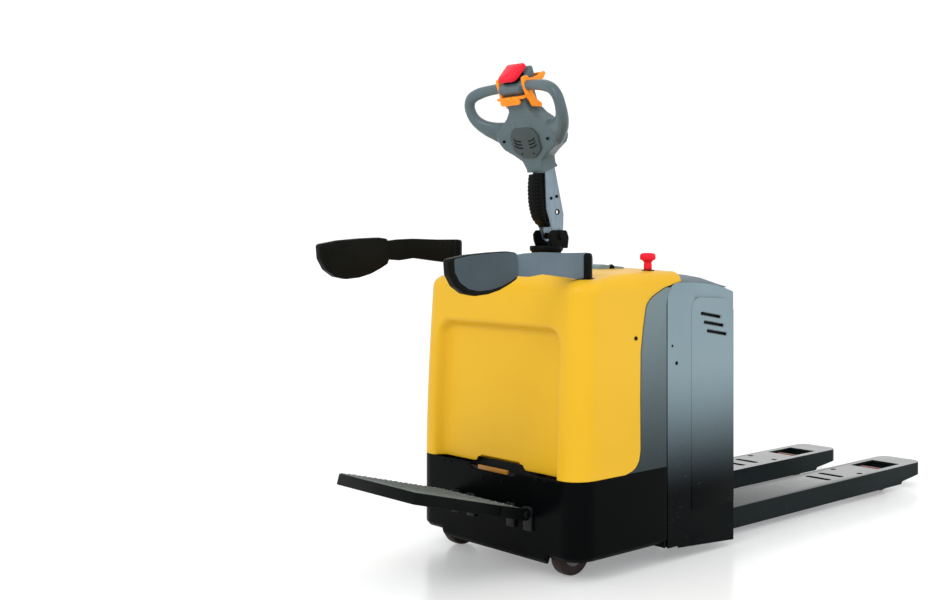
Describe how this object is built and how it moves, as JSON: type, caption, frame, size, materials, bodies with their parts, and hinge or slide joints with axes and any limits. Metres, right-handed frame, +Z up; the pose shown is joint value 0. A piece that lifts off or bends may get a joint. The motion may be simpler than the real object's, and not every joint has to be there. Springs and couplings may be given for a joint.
{
  "type": "electric pallet truck",
  "caption": "Rider pallet truck with two lifting forks, sprung fold-up platform, folding side arms and a steering tiller.",
  "frame": {"origin": "middle of the bounding box, on the floor, with the forks lowered and the platform in its sprung position", "axes": "+X to the fork tips, +Y to the truck's left, +Z up"},
  "size_m": [2.1548, 0.72, 1.4155],
  "materials": {
    "frame_steel": "satin",
    "black_skirt": "semi-gloss",
    "yellow_cover": "satin",
    "dark_panel": "satin",
    "grey_plastic": "satin",
    "black_plastic": "matte",
    "pad_foam": "matte",
    "mat_rubber": "matte",
    "bare_steel": "brushed",
    "plate_metal": "satin",
    "red_plastic": "gloss",
    "orange_plastic": "satin",
    "blue_plastic": "satin",
    "wheel_polyurethane": "satin",
    "cast_metal": "rough",
    "bronze_bush": "satin",
    "battery_case": "satin"
  },
  "bodies": {
    "chassis": {"chassis_frame": "frame_steel", "base_skirt": "black_skirt", "drive_cover": "yellow_cover", "side_columns": "dark_panel", "mast_frame": "frame_steel", "lift_cylinder": "frame_steel", "hydraulic_tank": "frame_steel", "pump_motor": "frame_steel", "electric_panel": "frame_steel", "turntable_bearing": "bare_steel", "dash_console": "grey_plastic", "stop_switch_base": "black_plastic", "platform_brackets": "frame_steel", "platform_pin": "bare_steel", "arm_sockets": "frame_steel", "cover_screws": "bare_steel"},
    "emergency_stop": {"stop_button": "red_plastic"},
    "key": {"ignition_key": "bare_steel"},
    "steer_unit": {"drive_gearbox": "cast_metal", "drive_motor": "cast_metal", "steer_bridge": "frame_steel", "tiller_base": "black_plastic", "tiller_pin": "bare_steel"},
    "drive_wheel": {"drive_hub": "cast_metal", "drive_tyre": "wheel_polyurethane"},
    "castor_swivel_right": {"castor_fork_right": "cast_metal"},
    "castor_swivel_left": {"castor_fork_left": "cast_metal"},
    "castor_roll_right": {"castor_wheel_right": "wheel_polyurethane"},
    "castor_roll_left": {"castor_wheel_left": "wheel_polyurethane"},
    "platform": {"platform_frame": "black_skirt", "platform_mat": "mat_rubber"},
    "arm_turn_right": {"arm_sleeve_right": "bronze_bush"},
    "arm_turn_left": {"arm_sleeve_left": "bronze_bush"},
    "arm_right": {"side_arm_right": "black_plastic", "arm_pad_right": "pad_foam"},
    "arm_left": {"side_arm_left": "black_plastic", "arm_pad_left": "pad_foam"},
    "lift_carriage": {"fork_right": "black_skirt", "fork_left": "black_skirt", "fork_heel": "black_skirt", "battery_tray": "frame_steel", "battery_block": "battery_case", "battery_plug": "red_plastic", "side_panel_right": "dark_panel", "side_panel_left": "dark_panel", "lift_rod": "bare_steel"},
    "lid": {"battery_lid": "dark_panel"},
    "crank": {"lift_crank": "cast_metal"},
    "rods": {"push_rods": "bare_steel"},
    "roller_link_right": {"roller_arm_right": "frame_steel"},
    "roller_link_left": {"roller_arm_left": "frame_steel"},
    "roller_right": {"load_roller_right": "wheel_polyurethane"},
    "roller_left": {"load_roller_left": "wheel_polyurethane"},
    "tiller": {"tiller_plates": "plate_metal", "column_cover": "black_plastic", "tiller_head": "grey_plastic"},
    "belly": {"belly_button": "red_plastic"},
    "throttle": {"throttle_wings": "orange_plastic"},
    "rocker": {"lift_rocker": "black_plastic"},
    "horn": {"horn_button": "blue_plastic"}
  },
  "joints": [
    {"name": "emergency_stop_push", "type": "slide", "parent": "chassis", "child": "emergency_stop", "axis": [0, 0, -1], "range_m": [0, 0.006], "stiffness_N_per_m": 900},
    {"name": "key_turn", "type": "hinge", "parent": "chassis", "child": "key", "pos_m": [-0.37256, -0.06, 0.82], "axis": [0, 0, 1], "range_deg": [-60, 0]},
    {"name": "steering", "type": "hinge", "parent": "chassis", "child": "steer_unit", "pos_m": [-0.49456, 0, 0.3], "axis": [0, 0, 1], "range_deg": [-90, 90]},
    {"name": "drive_wheel_spin", "type": "hinge", "parent": "steer_unit", "child": "drive_wheel", "pos_m": [-0.49456, 0, 0.115], "axis": [0, 1, 0], "continuous": true},
    {"name": "castor_swivel_right", "type": "hinge", "parent": "chassis", "child": "castor_swivel_right", "pos_m": [-0.58757, -0.245, 0.2], "axis": [0, 0, 1], "continuous": true},
    {"name": "castor_spin_right", "type": "hinge", "parent": "castor_swivel_right", "child": "castor_roll_right", "pos_m": [-0.61757, -0.245, 0.055], "axis": [0, 1, 0], "continuous": true},
    {"name": "castor_swivel_left", "type": "hinge", "parent": "chassis", "child": "castor_swivel_left", "pos_m": [-0.58757, 0.245, 0.2], "axis": [0, 0, 1], "continuous": true},
    {"name": "castor_spin_left", "type": "hinge", "parent": "castor_swivel_left", "child": "castor_roll_left", "pos_m": [-0.61757, 0.245, 0.055], "axis": [0, 1, 0], "continuous": true},
    {"name": "platform_fold", "type": "hinge", "parent": "chassis", "child": "platform", "pos_m": [-0.71857, 0, 0.17], "axis": [0, 1, 0], "range_deg": [-15.7, 77], "stiffness_Nm_per_rad": 150, "springref_deg": 8.59},
    {"name": "arm_fold_right", "type": "hinge", "parent": "chassis", "child": "arm_turn_right", "pos_m": [-0.60357, -0.293, 0.75], "axis": [0, 0, 1], "range_deg": [-90, 0]},
    {"name": "arm_rise_right", "type": "slide", "parent": "arm_turn_right", "child": "arm_right", "axis": [0, 0, 1], "range_m": [0, 0.062]},
    {"name": "arm_fold_left", "type": "hinge", "parent": "chassis", "child": "arm_turn_left", "pos_m": [-0.60357, 0.293, 0.75], "axis": [0, 0, 1], "range_deg": [0, 90]},
    {"name": "arm_rise_left", "type": "slide", "parent": "arm_turn_left", "child": "arm_left", "axis": [0, 0, 1], "range_m": [0, 0.062]},
    {"name": "lift", "type": "slide", "parent": "chassis", "child": "lift_carriage", "axis": [0, 0, 1], "range_m": [0, 0.12]},
    {"name": "lid_hinge", "type": "hinge", "parent": "lift_carriage", "child": "lid", "pos_m": [-0.06757, 0, 0.768], "axis": [0, 1, 0], "range_deg": [0, 80]},
    {"name": "crank_turn", "type": "hinge", "parent": "lift_carriage", "child": "crank", "pos_m": [-0.13256, 0, 0.052], "axis": [0, 1, 0], "range_deg": [0, 52.07]},
    {"name": "rod_travel", "type": "slide", "parent": "lift_carriage", "child": "rods", "axis": [-1, 0, 0], "range_m": [0, 0.02471]},
    {"name": "roller_arm_swing_right", "type": "hinge", "parent": "lift_carriage", "child": "roller_link_right", "pos_m": [0.71744, -0.1925, 0.052], "axis": [0, 1, 0], "range_deg": [0, 52.07]},
    {"name": "load_roller_spin_right", "type": "hinge", "parent": "roller_link_right", "child": "roller_right", "pos_m": [0.87543, -0.1925, 0.04], "axis": [0, 1, 0], "continuous": true},
    {"name": "roller_arm_swing_left", "type": "hinge", "parent": "lift_carriage", "child": "roller_link_left", "pos_m": [0.71744, 0.1925, 0.052], "axis": [0, 1, 0], "range_deg": [0, 52.07]},
    {"name": "load_roller_spin_left", "type": "hinge", "parent": "roller_link_left", "child": "roller_left", "pos_m": [0.87543, 0.1925, 0.04], "axis": [0, 1, 0], "continuous": true},
    {"name": "tiller_tilt", "type": "hinge", "parent": "steer_unit", "child": "tiller", "pos_m": [-0.47257, 0, 0.92], "axis": [0, 1, 0], "range_deg": [-55, 8], "stiffness_Nm_per_rad": 45, "springref_deg": 11.46},
    {"name": "belly_button_push", "type": "slide", "parent": "tiller", "child": "belly", "axis": [0.7771, 0, -0.6293], "range_m": [0, 0.006], "stiffness_N_per_m": 900},
    {"name": "throttle_turn", "type": "hinge", "parent": "tiller", "child": "throttle", "pos_m": [-0.61064, 0, 1.32728], "axis": [0, 1, 0], "range_deg": [-12, 12], "stiffness_Nm_per_rad": 2.5},
    {"name": "lift_rocker_tip", "type": "hinge", "parent": "tiller", "child": "rocker", "pos_m": [-0.56356, 0, 1.30611], "axis": [0, 1, 0], "range_deg": [-5, 5], "stiffness_Nm_per_rad": 1.5},
    {"name": "horn_push", "type": "slide", "parent": "tiller", "child": "horn", "axis": [-0.9397, 0, -0.342], "range_m": [0, 0.003], "stiffness_N_per_m": 600}
  ],
  "couplings": [
    {"joint": "arm_rise_right", "follows": "arm_fold_right", "m_per_rad": -0.03947},
    {"joint": "arm_rise_left", "follows": "arm_fold_left", "m_per_rad": 0.03947},
    {"joint": "crank_turn", "follows": "lift", "rad_per_m": 7.5731},
    {"joint": "roller_arm_swing_right", "follows": "lift", "rad_per_m": 7.5731},
    {"joint": "roller_arm_swing_left", "follows": "lift", "rad_per_m": 7.5731},
    {"joint": "rod_travel", "follows": "lift", "ratio": 0.20591}
  ]
}
